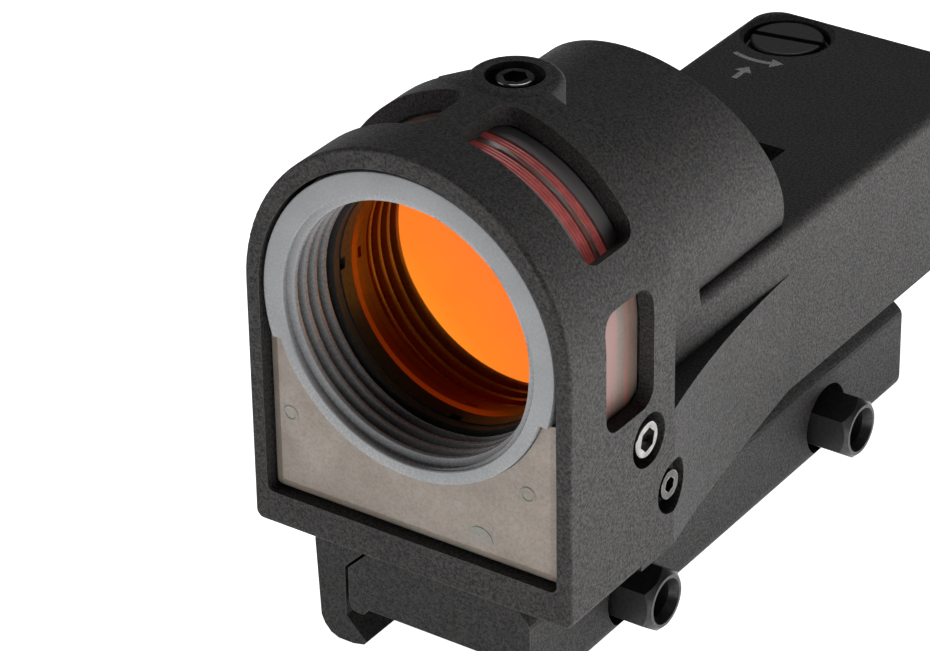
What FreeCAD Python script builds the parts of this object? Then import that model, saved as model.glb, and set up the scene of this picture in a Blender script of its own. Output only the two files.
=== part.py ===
"""Enclosed reflex sight with a quick-change rail mount, built as separate pieces.

Millimetres. The origin is the centre of the flat rail seat under the mount. +Z is up, -Y is the
end that faces the target (the lens end) and +X is the side that the clamp nuts stand out of.
The optical pieces are drawn first about the lens axis, with y counted rearwards from the front
face, and place() then moves them to the rail seat's frame.
"""
import FreeCAD, Part
import math
import os

from FreeCAD import Vector

os.makedirs("parts", exist_ok=True)

# ---- driving dimensions, lens axis frame (y from the front face, z from the lens axis) ----
AXIS_HEIGHT = 44.1           # lens axis above the rail seat
HEAD_RADIUS = 24.0           # arch radius and half width of the head
ARCH_RISE = 0.6              # centre of the head's arch above the lens axis
HEAD_LENGTH = 23.6
BODY_BOTTOM = -34.1
OPENING_HALF = 21.9          # D-shaped opening for the insert
OPENING_BOTTOM = -29.4
OPENING_DEPTH = 19.0
TUBE_RADIUS = 18.65          # outside of the sighting tube, and half width of the rear body
BORE_RADIUS = 16.5
BORE_END = 60.0
RIM_Y = 57.4                 # the tube's rear rim leans: y = RIM_Y - RIM_SLOPE * z
RIM_SLOPE = 0.44
COLLAR_STEP = 0.3            # collar round the front of the tube
COLLAR_Y = 35.9
COLLAR_SLOPE = 0.23
DECK_Z = -7.4
DECK_THICK = 2.8
BODY_END = 116.8
BODY_CORNER = 4.6
FLARE_TOP = -14.2
FLARE_END = 61.0
FLARE_CUT = (36.0, 21.5)      # y and x where the flare's lower edge starts to be cut away
EDGE_CHAMFER = 2.0           # along the lower edges of the rear body
BOSS_Y = 24.5                # raised boss over the head's top screw
BOSS_TOP = 24.9
BOSS_RADIUS = 6.2
BOSS_SKIRT = (10.5, 22.4)    # radius and height of the foot of its sloping front
SLOT_HALF = 6.9              # light slot in the deck
SLOT_END = 79.0

CAVITY_HALF = 13.6           # hollow under the deck for the adjusters
CAVITY_FRONT = 62.0
CAVITY_REAR = 113.4
COVER_THICK = 2.0
COVER_HALF = 15.2
COVER_FRONT = 61.5
COVER_REAR = 113.9
COVER_SCREWS = [(sx * 11.2, y) for sx in (-1, 1) for y in (65.6, 93.0)]

WINDOW_FRONT = 7.8           # light windows round the head
WINDOW_REAR = 18.55
ARCH_WINDOW = (28.5, 84.5)   # angles up from the side, degrees
SIDE_WINDOW = (-10.7, 5.8)   # heights of the windows in the flat sides

SIDE_SCREW = (17.5, -15.7)   # y, z of the insert's side screws
SET_SCREW = (23.4, -25.4)    # y, z of the lower recessed screws
SET_SCREW_RECESS = 3.7
SCREW_HEAD_RADIUS = 2.5
SCREW_HEAD_TALL = 2.4
SCREW_SOCKET = 1.65          # hexagon corner radius
SCREW_RECESS = 3.7
SCREW_LUG = 4.6

ELEVATION_XY = (-10.7, 109.2)
WINDAGE_YZ = (100.7, -19.9)
ADJUSTER_RADIUS = 5.25
ADJUSTER_RECESS = 6.2
RECESS_DEPTH = 2.6
ADJUSTER_SINK = 0.4          # head below the surface round it
ADJUSTER_CHAMFER = 0.6
ELEVATION_BOSS = 6.8
ELEVATION_BOSS_Z = -13.5
CLICK_RADIUS = 3.6           # circle that the click balls stand on
CLICK_BALL = 0.7
GUIDE_PINS = [(-2.0, 108.6), (5.5, 108.6)]
GUIDE_PIN_RADIUS = 1.5
SPRING_XY = (10.3, 108.6)
RETICLE_Z = -17.8
LEAD_XZ = (11.5, -17.0)

RING_FRONT = 0.3             # threaded ring, insert and lens stack
FLANGE_RADIUS = 21.45
FLANGE_LOWER = 20.3
FLANGE_STEP_Z = -6.6
FLANGE_BACK = 2.8
THREAD_RADIUS = 17.4
RING_BODY = 19.2
INSERT_BORE = 19.3
INSERT_HALF = 21.5
INSERT_BOTTOM = -29.0
INSERT_FRONT = 1.7
INSERT_RAISED = 1.2          # front of the raised middle, inside a sloping border
INSERT_BORDER = 1.25
INSERT_REAR = 18.6
FIBRE_BANDS = [(11.4, 13.6), (14.4, 16.1)]
FIBRE_OPEN_Z = 7.0           # above this height the fibre lies open to the windows
FIBRE_INNER = 20.0
FIBRE_OUTER = 21.3
LENS_RADIUS = 17.4
LENS_FRONT = 12.5
LENS_JOIN = 14.8
LENS_REAR = 16.8
STACK = (9.0, 10.2, 11.8)    # rear faces of the ring, the seal and the retainer's flange
RETAINER_INNER = 16.8

# ---- driving dimensions, rail frame (y from the front face, z from the rail seat) ----
MOUNT_FRONT = 2.3
MOUNT_LENGTH = 93.8
MOUNT_TOP = AXIS_HEIGHT + BODY_BOTTOM
MOUNT_SIDE = 16.4
JAW_BOTTOM = -6.3
CLAMP_BOTTOM = -6.0
SEAT_HALF = 8.4
BASE_LEFT = -11.35
CLAMP_GAP = 0.5
RAIL_HALF = 10.6             # widest half width of the accessory rail
RAIL_GRIP_Z = -4.17          # height of the rail's lower flank at that width
BOLT_RADIUS = 2.5
BOLT_SPACING = 50.04
BOLT_FIRST = 25.25
BOLT_Z = -0.4
NUT_FLATS = 8.0
NUT_INNER = 12.7
NUT_OUTER = 22.0
NUT_RECESS = 5.1
NUT_FACE = 3.6               # radius of the flat end ring
MOUNT_SCREW_Y = (14.0, 56.0)

FIT = 0.05                   # gap between pieces that are fixed to each other
ORIGIN_Y = -(MOUNT_FRONT + MOUNT_LENGTH / 2)
AXES = {"X": Vector(1, 0, 0), "Y": Vector(0, 1, 0), "Z": Vector(0, 0, 1)}


# ---- small helpers ----
def block(x0, x1, y0, y1, z0, z1):
    return Part.makeBox(x1 - x0, y1 - y0, z1 - z0, Vector(x0, y0, z0))


def rod(axis, radius, start, length):
    """A cylinder along +axis from the point start."""
    return Part.makeCylinder(radius, length, Vector(*start), AXES[axis])


def tube(axis, inner, outer, start, length):
    return rod(axis, outer, start, length).cut(rod(axis, inner, start, length))


def cone(axis, r0, r1, start, length):
    return Part.makeCone(r0, r1, length, Vector(*start), AXES[axis])


def prism_y(points, y0, y1):
    """A solid between y0 and y1 from an outline of (x, z) points."""
    wire = Part.makePolygon([Vector(x, y0, z) for x, z in points + points[:1]])
    return Part.Face(wire).extrude(Vector(0, y1 - y0, 0))


def prism_x(points, x0, x1):
    """A solid between x0 and x1 from an outline of (y, z) points."""
    wire = Part.makePolygon([Vector(x0, y, z) for y, z in points + points[:1]])
    return Part.Face(wire).extrude(Vector(x1 - x0, 0, 0))


def hexagon(axis, corner_radius, start, length, turn=0.0):
    """A hexagonal bar along +axis."""
    centre = Vector(*start)
    ring = []
    for k in range(6):
        a = math.radians(60 * k + turn)
        u = corner_radius * math.cos(a)
        v = corner_radius * math.sin(a)
        offset = {"X": Vector(0, u, v), "Y": Vector(u, 0, v), "Z": Vector(u, v, 0)}[axis]
        ring.append(centre + offset)
    face = Part.Face(Part.makePolygon(ring + ring[:1]))
    return face.extrude(AXES[axis] * length)


def d_outline(half, bottom, y, corner, rise=0.0):
    """Arch of radius half about the height rise, straight sides, rounded lower corners."""
    def at(x, z):
        return Vector(x, y, z)
    diagonal = corner * (1 - math.sqrt(0.5))
    edges = [
        Part.Arc(at(-half, rise), at(0, half + rise), at(half, rise)).toShape(),
        Part.makeLine(at(half, rise), at(half, bottom + corner)),
        Part.Arc(at(half, bottom + corner), at(half - diagonal, bottom + diagonal),
                 at(half - corner, bottom)).toShape(),
        Part.makeLine(at(half - corner, bottom), at(corner - half, bottom)),
        Part.Arc(at(corner - half, bottom), at(diagonal - half, bottom + diagonal),
                 at(-half, bottom + corner)).toShape(),
        Part.makeLine(at(-half, bottom + corner), at(-half, rise)),
    ]
    return Part.Wire(edges)


def d_solid(half, bottom, y0, y1, corner, rise=0.0):
    return Part.Face(d_outline(half, bottom, y0, corner, rise)).extrude(Vector(0, y1 - y0, 0))


def edges_where(shape, test):
    """The edges whose two ends both pass the test."""
    found = []
    for edge in shape.Edges:
        ends = [v.Point for v in edge.Vertexes]
        if all(test(p) for p in ends):
            found.append(edge)
    return found


def fused(shapes):
    result = shapes[0]
    for shape in shapes[1:]:
        result = result.fuse(shape)
    return result.removeSplitter()


def sides(shape):
    """The shape and its mirror image across the middle plane."""
    return [shape, shape.mirror(Vector(0, 0, 0), Vector(1, 0, 0))]


def behind_plane(y_at_axis, slope, z_low, z_high):
    """Everything behind the leaning plane y = y_at_axis - slope * z, between two heights."""
    far = 140.0
    points = [(y_at_axis - slope * z_high, z_high), (far, z_high), (far, z_low),
              (y_at_axis - slope * z_low, z_low)]
    return prism_x(points, -40, 40)


# ---- the housing casting ----
def head_shell():
    shell = d_solid(HEAD_RADIUS, BODY_BOTTOM, 0, HEAD_LENGTH, 1.2, ARCH_RISE)
    front = edges_where(shell, lambda p: abs(p.y) < 1e-6)
    shell = shell.makeFillet(0.45, front)
    back = edges_where(shell, lambda p: abs(p.y - HEAD_LENGTH) < 1e-6 and p.z > FLARE_TOP)
    return shell.makeFillet(0.3, back)


def sighting_tube():
    outside = rod("Y", TUBE_RADIUS, (0, 5, 0), 70)
    return outside.cut(behind_plane(RIM_Y, RIM_SLOPE, -30, 30))


def tube_collar():
    band = d_solid(TUBE_RADIUS + COLLAR_STEP, DECK_Z - 1.2, 10, 60, 0.6)
    return band.cut(behind_plane(COLLAR_Y, COLLAR_SLOPE, -30, 30))


def rear_body():
    body = block(-TUBE_RADIUS, TUBE_RADIUS, 12, BODY_END, BODY_BOTTOM, DECK_Z)
    upright = edges_where(body, lambda p: abs(p.y - BODY_END) < 1e-6)
    upright = [e for e in upright if abs(e.Vertexes[0].Z - e.Vertexes[1].Z) > 1]
    body = body.makeFillet(BODY_CORNER, upright)
    deck = edges_where(body, lambda p: abs(p.z - DECK_Z) < 1e-6 and p.y > 12.001)
    long_sides = [e for e in body.Edges
                  if all(abs(v.Z - DECK_Z) < 1e-6 and abs(abs(v.X) - TUBE_RADIUS) < 1e-6
                         for v in e.Vertexes)]
    body = body.makeFillet(1.6, deck + [e for e in long_sides if e not in deck])
    under = [e for e in body.Edges
             if all(abs(v.Z - BODY_BOTTOM) < 1e-6 and v.Y > 12.001 for v in e.Vertexes)]
    under += [e for e in body.Edges
              if all(abs(v.Z - BODY_BOTTOM) < 1e-6 and abs(abs(v.X) - TUBE_RADIUS) < 1e-6
                     for v in e.Vertexes) and min(v.Y for v in e.Vertexes) < 12.001]
    return body.makeChamfer(EDGE_CHAMFER, under)


def flare():
    """Wedge that brings the head's width down to the body's, on the +X side."""
    z0 = BODY_BOTTOM
    middle_y = (HEAD_LENGTH + FLARE_END) / 2
    outer = [Vector(HEAD_RADIUS, HEAD_LENGTH, z0), Vector(20.4, middle_y, z0),
             Vector(TUBE_RADIUS, FLARE_END, z0)]
    corners = [outer[2], Vector(10, FLARE_END, z0), Vector(10, 16, z0),
               Vector(HEAD_RADIUS, 16, z0), outer[0]]
    lines = [Part.makeLine(a, b) for a, b in zip(corners, corners[1:])]
    wire = Part.Wire([Part.Arc(*outer).toShape()] + lines)
    wedge = Part.Face(wire).extrude(Vector(0, 0, FLARE_TOP - z0))
    start_y, start_x = FLARE_CUT
    sections = []
    for x, y in ((start_x, start_y), (TUBE_RADIUS - EDGE_CHAMFER, FLARE_END)):
        corners = [Vector(x - 1, y, z0 - 1), Vector(x + 7, y, z0 - 1), Vector(x + 7, y, z0 + 7)]
        sections.append(Part.makePolygon(corners + corners[:1]))
    return wedge.cut(Part.makeLoft(sections, True, True))


def top_boss():
    """Round boss that drops sheer at the back and slopes down into the arch in front."""
    foot_radius, foot_z = BOSS_SKIRT
    boss = rod("Z", BOSS_RADIUS, (0, BOSS_Y, 14), BOSS_TOP - 14)
    rim = edges_where(boss, lambda p: abs(p.z - BOSS_TOP) < 1e-6)
    boss = boss.makeFillet(1.25, rim)
    top = BOSS_TOP - 0.35
    skirt = cone("Z", foot_radius, BOSS_RADIUS - 0.25, (0, BOSS_Y, foot_z), top - foot_z)
    skirt = skirt.common(block(-20, 20, 10, HEAD_LENGTH - 0.3, 0, 40))
    return boss.fuse(skirt)


def arch_window():
    """Cutter for the light window over the +X shoulder of the arch."""
    low, high = ARCH_WINDOW
    reach = 32.0
    outline = [(0, 0)]
    for k in range(5):
        a = math.radians(low + (high - low) * k / 4)
        outline.append((reach * math.cos(a), reach * math.sin(a)))
    wedge = prism_y(outline, WINDOW_FRONT, WINDOW_REAR)
    wedge = wedge.cut(rod("Y", 20, (0, 0, 0), 40))
    corners = []
    for edge in wedge.Edges:
        radii = [math.hypot(v.X, v.Z) for v in edge.Vertexes]
        if len(radii) == 2 and abs(radii[0] - radii[1]) > 5:
            corners.append(edge)
    return wedge.makeFillet(2.5, corners)


def side_window():
    low, high = SIDE_WINDOW
    cutter = block(19.5, 30, WINDOW_FRONT, WINDOW_REAR, low, high)
    across = [e for e in cutter.Edges if abs(e.Vertexes[0].X - e.Vertexes[1].X) > 5]
    return cutter.makeFillet(2.6, across)


def adjuster_recess(axis, x, y, z):
    """Recess, shank hole and click ball hole; z or x is the floor of the recess."""
    wide = ADJUSTER_RECESS + ADJUSTER_CHAMFER + 0.1
    slope = RECESS_DEPTH - ADJUSTER_CHAMFER
    if axis == "Z":
        return [rod("Z", ADJUSTER_RECESS, (x, y, z), 8),
                cone("Z", ADJUSTER_RECESS, wide, (x, y, z + slope), ADJUSTER_CHAMFER + 0.1),
                rod("Z", 2.05, (x, y, z - 8), 9),
                rod("Z", CLICK_BALL + FIT, (x + CLICK_RADIUS, y, z - 2.1), 3)]
    return [rod("X", ADJUSTER_RECESS, (x - 8, y, z), 8),
            cone("X", wide, ADJUSTER_RECESS, (x - RECESS_DEPTH - 0.1, y, z), ADJUSTER_CHAMFER + 0.1),
            rod("X", 1.55, (x - 1, y, z), 9),
            rod("X", CLICK_BALL + FIT, (x - 1, y, z + CLICK_RADIUS), 3.1)]


def housing():
    shapes = [head_shell(), sighting_tube(), tube_collar(), rear_body(), top_boss()]
    shell = fused(shapes + sides(flare()))

    ledge = BODY_BOTTOM + COVER_THICK
    under_deck = DECK_Z - DECK_THICK
    x, y = ELEVATION_XY
    hollow = block(-CAVITY_HALF, CAVITY_HALF, CAVITY_FRONT, CAVITY_REAR, ledge, under_deck)
    hollow = hollow.cut(rod("Z", ELEVATION_BOSS, (x, y, ELEVATION_BOSS_Z), 20))
    for px, py in COVER_SCREWS:
        wall = CAVITY_HALF - 2.2 if px > 0 else 2.2 - CAVITY_HALF
        post = block(min(px, wall) - 2.2, max(px, wall) + 2.2, py - 2.4, py + 2.4, -40, -20)
        hollow = hollow.cut(post)
    for sx in (-1, 1):
        rib = block(min(sx * 7.5, sx * 9.5), max(sx * 7.5, sx * 9.5), 86.4, 90.6, -40, 0)
        hollow = hollow.cut(rib.cut(block(-8.05, 8.05, 87.95, 89.25, -50, 5)))

    cutters = [
        d_solid(OPENING_HALF, OPENING_BOTTOM, -1, OPENING_DEPTH, 1.0),
        rod("Y", BORE_RADIUS, (0, 10, 0), BORE_END - 10),
        hollow,
        block(-COVER_HALF - FIT, COVER_HALF + FIT, COVER_FRONT - FIT, COVER_REAR + FIT,
              BODY_BOTTOM - 1, ledge),
        block(-SLOT_HALF, SLOT_HALF, BORE_END - 1, SLOT_END, -17, 0),
        rod("Z", SCREW_RECESS + 0.1, (0, BOSS_Y, BOSS_TOP - 2.7), 8),
        rod("Z", 1.25, (0, BOSS_Y, 17.4), 8),
        rod("Y", 1.1, (LEAD_XZ[0], 15, LEAD_XZ[1]), 50),
    ]
    cutters += sides(arch_window()) + sides(side_window())
    cutters += adjuster_recess("Z", x, y, DECK_Z - RECESS_DEPTH)
    cutters += adjuster_recess("X", RECESS_DEPTH - TUBE_RADIUS, *WINDAGE_YZ)
    for px, py in GUIDE_PINS:
        cutters.append(rod("Z", GUIDE_PIN_RADIUS + FIT, (px, py, under_deck - 5), 5.8))
    for px, py in COVER_SCREWS:
        cutters.append(rod("Z", 1.05, (px, py, ledge - 1), 8))
    for my in MOUNT_SCREW_Y:
        cutters.append(rod("Z", 2.05, (0, my, BODY_BOTTOM - 1), 5.3))

    lugs = []
    for sx in (-1, 1):
        y, z = SIDE_SCREW
        start = 19.4 if sx > 0 else -HEAD_RADIUS + 1
        lugs.append(rod("X", SCREW_LUG, (start, y, z), HEAD_RADIUS - 1 - 19.4))
    shell = shell.cut(cutters[0])
    shell = fused([shell] + [lug.common(block(-30, 30, 0, OPENING_DEPTH + 1, -30, 0)) for lug in lugs])
    for cutter in cutters[1:]:
        shell = shell.cut(cutter)
    for cutter in side_screw_holes():
        shell = shell.cut(cutter)
    return shell.removeSplitter()


def side_screw_holes():
    holes = []
    for sx in (-1, 1):
        y, z = SIDE_SCREW
        deep = HEAD_RADIUS - 2.7
        x0 = deep if sx > 0 else -deep - 8
        holes.append(rod("X", SCREW_RECESS, (x0, y, z), 8))
        holes.append(rod("X", 1.25, (min(sx * 17, sx * 25), y, z), 8))
        y, z = SET_SCREW
        x0 = 21.6 if sx > 0 else -29.6
        holes.append(rod("X", SET_SCREW_RECESS, (x0, y, z), 8))
        holes.append(rod("X", 2.0, (min(sx * 14.5, sx * 25), y, z), 10.5))
    return holes


def bottom_cover():
    ledge = BODY_BOTTOM + COVER_THICK
    plate = block(-COVER_HALF, COVER_HALF, COVER_FRONT, COVER_REAR, BODY_BOTTOM, ledge)
    for x, y in COVER_SCREWS:
        plate = plate.cut(rod("Z", 1.15, (x, y, BODY_BOTTOM - 1), 5))
        plate = plate.cut(cone("Z", 2.1, 1.15, (x, y, BODY_BOTTOM), 1.2))
    return plate


def cover_screws():
    screws = []
    for x, y in COVER_SCREWS:
        head = cone("Z", 2.0, 1.0, (x, y, BODY_BOTTOM), 1.15)
        shank = rod("Z", 1.0, (x, y, BODY_BOTTOM + 1), 6.6)
        slot = block(x - 0.3, x + 0.3, y - 2.5, y + 2.5, BODY_BOTTOM - 1, BODY_BOTTOM + 0.5)
        screws.append(head.fuse(shank).cut(slot))
    return Part.makeCompound(screws)


# ---- the insert at the front: light collector, fibre, threaded ring, lens stack ----
def light_collector():
    body = d_solid(INSERT_HALF, INSERT_BOTTOM, INSERT_FRONT, INSERT_REAR, 0.8)
    border = INSERT_BORDER
    raised = Part.makeLoft([
        d_outline(INSERT_HALF, INSERT_BOTTOM, INSERT_FRONT, 0.8),
        d_outline(INSERT_HALF - border, INSERT_BOTTOM + border, INSERT_RAISED, 0.4)], True, True)
    body = body.fuse(raised)
    body = body.cut(block(-30, 30, 0, FLANGE_BACK + 0.1, FLANGE_STEP_Z - 0.1, 30))
    body = body.cut(rod("Y", FLANGE_LOWER + 0.1, (0, 0, 0), FLANGE_BACK + 0.1))
    body = body.cut(rod("Y", INSERT_BORE, (0, -1, 0), 30))
    for y0, y1 in FIBRE_BANDS:
        groove = tube("Y", FIBRE_INNER - FIT, FIBRE_OUTER + FIT, (0, y0 - FIT, 0), y1 - y0 + 2 * FIT)
        body = body.cut(groove)
        skin = tube("Y", FIBRE_OUTER, FIBRE_OUTER + 1, (0, y0 - FIT, 0), y1 - y0 + 2 * FIT)
        body = body.cut(skin.common(block(-30, 30, 0, 30, FIBRE_OPEN_Z, 30)))
    for sx in (-1, 1):
        y, z = SIDE_SCREW
        body = body.cut(rod("X", SCREW_LUG + 0.1, (19.3 if sx > 0 else -29.3, y, z), 10))
        body = body.cut(rod("X", 1.3, (min(sx * 15, sx * 25), y, z), 10))
    return body.cut(rod("Y", 0.6, (LEAD_XZ[0], 16.5, LEAD_XZ[1]), 10))


def fibre_coil():
    bands = []
    for y0, y1 in FIBRE_BANDS:
        bands.append(tube("Y", FIBRE_INNER, FIBRE_OUTER, (0, y0, 0), y1 - y0))
    return Part.makeCompound(bands)


def fibre_lead():
    """Light guide from the insert to a port beside the reticle holder, with one bend."""
    x, z = LEAD_XZ
    bend = 3.5
    y_start = 16.7
    y_end = 95.0
    x_end = 4.4
    diagonal = bend * (1 - math.sqrt(0.5))
    path = Part.Wire([
        Part.makeLine(Vector(x, y_start, z), Vector(x, y_end - bend, z)),
        Part.Arc(Vector(x, y_end - bend, z), Vector(x - diagonal, y_end - diagonal, z),
                 Vector(x - bend, y_end, z)).toShape(),
        Part.makeLine(Vector(x - bend, y_end, z), Vector(x_end, y_end, z)),
    ])
    section = Part.Wire(Part.makeCircle(0.5, Vector(x, y_start, z), Vector(0, 1, 0)))
    return path.makePipeShell([section], True, True)


def threaded_ring():
    thick = FLANGE_BACK - RING_FRONT
    upper = rod("Y", FLANGE_RADIUS, (0, RING_FRONT, 0), thick)
    upper = upper.cut(block(-30, 30, -1, 5, -30, FLANGE_STEP_Z))
    lower = rod("Y", FLANGE_LOWER, (0, RING_FRONT, 0), thick)
    body = rod("Y", RING_BODY, (0, RING_FRONT, 0), STACK[0] - RING_FRONT)
    ring = fused([upper, lower, body])
    ring = ring.cut(rod("Y", THREAD_RADIUS, (0, 0, 0), 12))
    ring = ring.cut(cone("Y", 18.8, THREAD_RADIUS, (0, RING_FRONT, 0), 1.2))
    return ring.cut(rod("Y", 17.9, (0, 8.6, 0), 5))


def ring_seal():
    return tube("Y", 17.0, 19.1, (0, STACK[0] + FIT, 0), STACK[1] - STACK[0] - FIT)


def lens_retainer():
    """Flanged ring that presses the front glass into its cell, with four notches for a key."""
    front = STACK[1] + FIT
    flange = tube("Y", RETAINER_INNER, 19.15, (0, front, 0), STACK[2] - front)
    spigot = tube("Y", RETAINER_INNER, LENS_RADIUS - FIT, (0, STACK[2] - 0.2, 0),
                  LENS_FRONT - FIT - STACK[2] + 0.2)
    ring = flange.fuse(spigot).removeSplitter()
    low = front - 1
    high = front + 0.9
    notches = [block(-19, 19, low, high, -0.8, 0.8), block(-0.8, 0.8, low, high, -19, 19)]
    for notch in notches:
        ring = ring.cut(notch.common(rod("Y", 18.0, (0, 0, 0), 30)))
    return ring


def lens_cell():
    front = STACK[2] + FIT
    cell = rod("Y", 19.15, (0, front, 0), OPENING_DEPTH - FIT - front)
    cell = cell.cut(rod("Y", LENS_RADIUS + FIT, (0, 10, 0), LENS_REAR + FIT - 10))
    return cell.cut(rod("Y", 15.9, (0, 10, 0), 12))


def cap(radius_of_curve, y_pole, direction):
    """A large ball whose surface passes through the axis at y_pole; direction points to its centre."""
    return Part.makeSphere(radius_of_curve, Vector(0, y_pole + direction * radius_of_curve, 0))


def objective_lens():
    """Front element: flat front, and a hollow back that the rear element fills."""
    blank = rod("Y", LENS_RADIUS, (0, LENS_FRONT, 0), LENS_JOIN - LENS_FRONT)
    return blank.cut(cap(220, LENS_JOIN - 0.7, 1))


def reflector_lens():
    """Rear element, cemented to the front one; its front face carries the mirror coating."""
    blank = rod("Y", LENS_RADIUS, (0, LENS_JOIN - 1, 0), LENS_REAR - LENS_JOIN + 1)
    return blank.common(cap(220, LENS_JOIN - 0.65, 1))


# ---- head screws ----
def cap_screw(axis, start, direction, shank):
    """Socket head screw; start is the outer face of its head and direction points inwards."""
    x, y, z = start
    way = Vector(*direction)
    length = SCREW_HEAD_TALL + shank
    base = Vector(x, y, z)
    head = Part.makeCylinder(SCREW_HEAD_RADIUS, SCREW_HEAD_TALL, base, way)
    rim = [e for e in head.Edges if abs((e.CenterOfMass - base).dot(way)) < 1e-6
           and len(e.Vertexes) == 1]
    head = head.makeFillet(0.3, rim)
    stem = Part.makeCylinder(1.2, length, base, way)
    screw = head.fuse(stem.cut(Part.makeCylinder(1.3, 1.0, base, way)))
    depth = 1.4
    inner = base + way * depth
    low = Vector(min(x, inner.x), min(y, inner.y), min(z, inner.z))
    socket = hexagon(axis, SCREW_SOCKET, (low.x, low.y, low.z), depth, 15)
    return screw.cut(socket)


def head_screws():
    y, z = SIDE_SCREW
    face = HEAD_RADIUS - 0.2
    screws = [cap_screw("Z", (0, BOSS_Y, BOSS_TOP - 0.25), (0, 0, -1), 4.4)]
    screws.append(cap_screw("X", (face, y, z), (-1, 0, 0), 4.0))
    screws.append(cap_screw("X", (-face, y, z), (1, 0, 0), 4.0))
    return Part.makeCompound(screws)


def side_set_screws():
    y, z = SET_SCREW
    screws = []
    for sx in (-1, 1):
        x0 = 15.0 if sx > 0 else -23.4
        body = rod("X", 1.95, (x0, y, z), 8.4)
        mouth = 22.0 if sx > 0 else -23.4
        screws.append(body.cut(hexagon("X", 1.1, (mouth, y, z), 1.4, 15)))
    return Part.makeCompound(screws)


# ---- elevation and windage adjusters ----
def elevation_screw():
    x, y = ELEVATION_XY
    top = DECK_Z - ADJUSTER_SINK
    floor = DECK_Z - RECESS_DEPTH
    head = rod("Z", ADJUSTER_RADIUS, (x, y, floor + 0.1), top - floor - 0.1)
    head = head.makeFillet(0.35, edges_where(head, lambda p: abs(p.z - top) < 1e-6))
    slot = block(-7, 7, -0.6, 0.6, top - 1.0, top + 1)
    slot.rotate(Vector(0, 0, 0), AXES["Z"], 10)
    slot.translate(Vector(x, y, 0))
    head = head.cut(slot)
    head = head.cut(tube("Z", CLICK_RADIUS - 1.1, CLICK_RADIUS + 1.1, (x, y, floor), 0.7))
    shank = rod("Z", 2.0, (x, y, -25.5), floor + 0.2 + 25.5)
    groove = tube("Z", 1.6, 3, (x, y, ELEVATION_BOSS_Z - 0.85), 0.7)
    return head.fuse(shank).removeSplitter().cut(groove)


def elevation_clip():
    x, y = ELEVATION_XY
    clip = tube("Z", 1.65, 2.8, (x, y, ELEVATION_BOSS_Z - 0.8), 0.6)
    return clip.cut(block(x - 0.9, x + 0.9, y, y + 5, -20, -10))


def windage_screw():
    y, z = WINDAGE_YZ
    outer = ADJUSTER_SINK - TUBE_RADIUS
    floor = RECESS_DEPTH - TUBE_RADIUS
    head = rod("X", ADJUSTER_RADIUS, (outer, y, z), floor - 0.1 - outer)
    head = head.makeFillet(0.35, edges_where(head, lambda p: abs(p.x - outer) < 1e-6))
    slot = block(outer - 1, outer + 1.0, -7, 7, -0.6, 0.6)
    slot.rotate(Vector(0, 0, 0), AXES["X"], 35)
    slot.translate(Vector(0, y, z))
    head = head.cut(slot)
    ball_track = tube("X", CLICK_RADIUS - 1.1, CLICK_RADIUS + 1.1, (floor - 0.7, y, z), 0.7)
    shank = rod("X", 1.5, (floor - 0.2, y, z), -1.0 - floor + 0.2)
    groove = tube("X", 1.1, 3, (0.1 - CAVITY_HALF, y, z), 0.7)
    return head.cut(ball_track).fuse(shank).removeSplitter().cut(groove)


def windage_clip():
    y, z = WINDAGE_YZ
    clip = tube("X", 1.15, 3.2, (0.15 - CAVITY_HALF, y, z), 0.6)
    return clip.cut(block(-15, -10, y - 0.7, y + 0.7, z, z + 5))


def adjuster_orings():
    x, y = ELEVATION_XY
    floor = DECK_Z - RECESS_DEPTH
    first = Part.makeTorus(5.85, 0.3, Vector(x, y, floor + 0.32), AXES["Z"])
    y, z = WINDAGE_YZ
    wall = RECESS_DEPTH - TUBE_RADIUS
    second = Part.makeTorus(5.85, 0.3, Vector(wall - 0.32, y, z), AXES["X"])
    return Part.makeCompound([first, second])


def click_balls():
    x, y = ELEVATION_XY
    first = Part.makeSphere(CLICK_BALL, Vector(x + CLICK_RADIUS, y, DECK_Z - RECESS_DEPTH - 0.45))
    y, z = WINDAGE_YZ
    second = Part.makeSphere(CLICK_BALL, Vector(RECESS_DEPTH - TUBE_RADIUS + 0.45, y, z + CLICK_RADIUS))
    return Part.makeCompound([first, second])


def click_springs():
    x, y = ELEVATION_XY
    floor = DECK_Z - RECESS_DEPTH
    first = tube("Z", 0.35, 0.65, (x + CLICK_RADIUS, y, floor - 2.05), 0.85)
    y, z = WINDAGE_YZ
    wall = RECESS_DEPTH - TUBE_RADIUS
    second = tube("X", 0.35, 0.65, (wall + 1.2, y, z + CLICK_RADIUS), 0.85)
    return Part.makeCompound([first, second])


def elevation_carriage():
    x, y = ELEVATION_XY
    half = CAVITY_HALF - 0.4
    top = -14.9
    slide = block(-half, half, 104.4, CAVITY_REAR - 0.8, -27, top)
    slide = slide.cut(rod("Z", 2.06, (x, y, -30), 20))
    slide = slide.cut(rod("Z", 3.9, (x, y, top - 1.4), 5))
    for px, py in GUIDE_PINS:
        slide = slide.cut(rod("Z", GUIDE_PIN_RADIUS + 0.06, (px, py, -30), 20))
    slide = slide.cut(rod("Z", 2.5, (*SPRING_XY, -28), 8))
    return slide.cut(block(-20, 20, 104, 106.0, -23, -17))


def guide_pins():
    bottom = BODY_BOTTOM + COVER_THICK
    pins = [rod("Z", GUIDE_PIN_RADIUS, (px, py, bottom), DECK_Z - DECK_THICK + 0.7 - bottom)
            for px, py in GUIDE_PINS]
    return Part.makeCompound(pins)


def carriage_spring():
    bottom = BODY_BOTTOM + COVER_THICK
    return tube("Z", 1.6, 2.2, (*SPRING_XY, bottom), -20.05 - bottom)


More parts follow.
